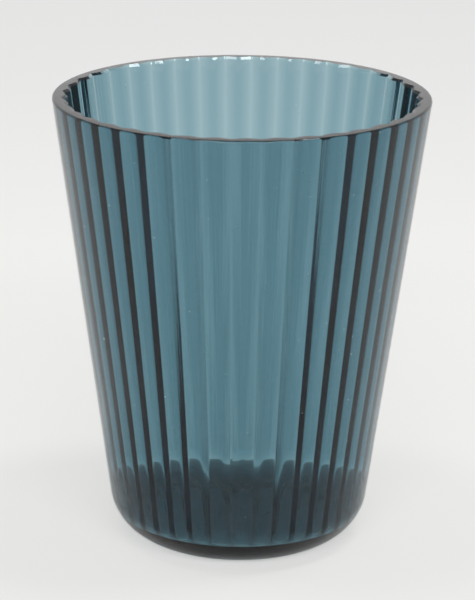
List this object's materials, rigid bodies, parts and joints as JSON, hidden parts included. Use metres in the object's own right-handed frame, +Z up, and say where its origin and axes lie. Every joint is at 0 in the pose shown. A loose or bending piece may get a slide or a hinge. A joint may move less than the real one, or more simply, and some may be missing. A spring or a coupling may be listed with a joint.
{
  "type": "plastic tumbler",
  "caption": "Conical clear tinted plastic tumbler with a smooth outside, a rounded heel and vertical ribs inside the wall, for cold drinks.",
  "frame": {"origin": "centre of the foot ring, on the table", "axes": "+Z up the tumbler's axis to the rim; -Y faces the viewer, with the crest of a rib on it"},
  "size_m": [0.0884, 0.0884, 0.108],
  "materials": {
    "tinted_plastic": "polished transparent moulding, smoky teal-blue tint"
  },
  "bodies": {
    "root": {"drinking_rim": "tinted_plastic", "fluted_wall": "tinted_plastic", "floor_disc": "tinted_plastic", "foot_ring": "tinted_plastic"}
  },
  "joints": []
}
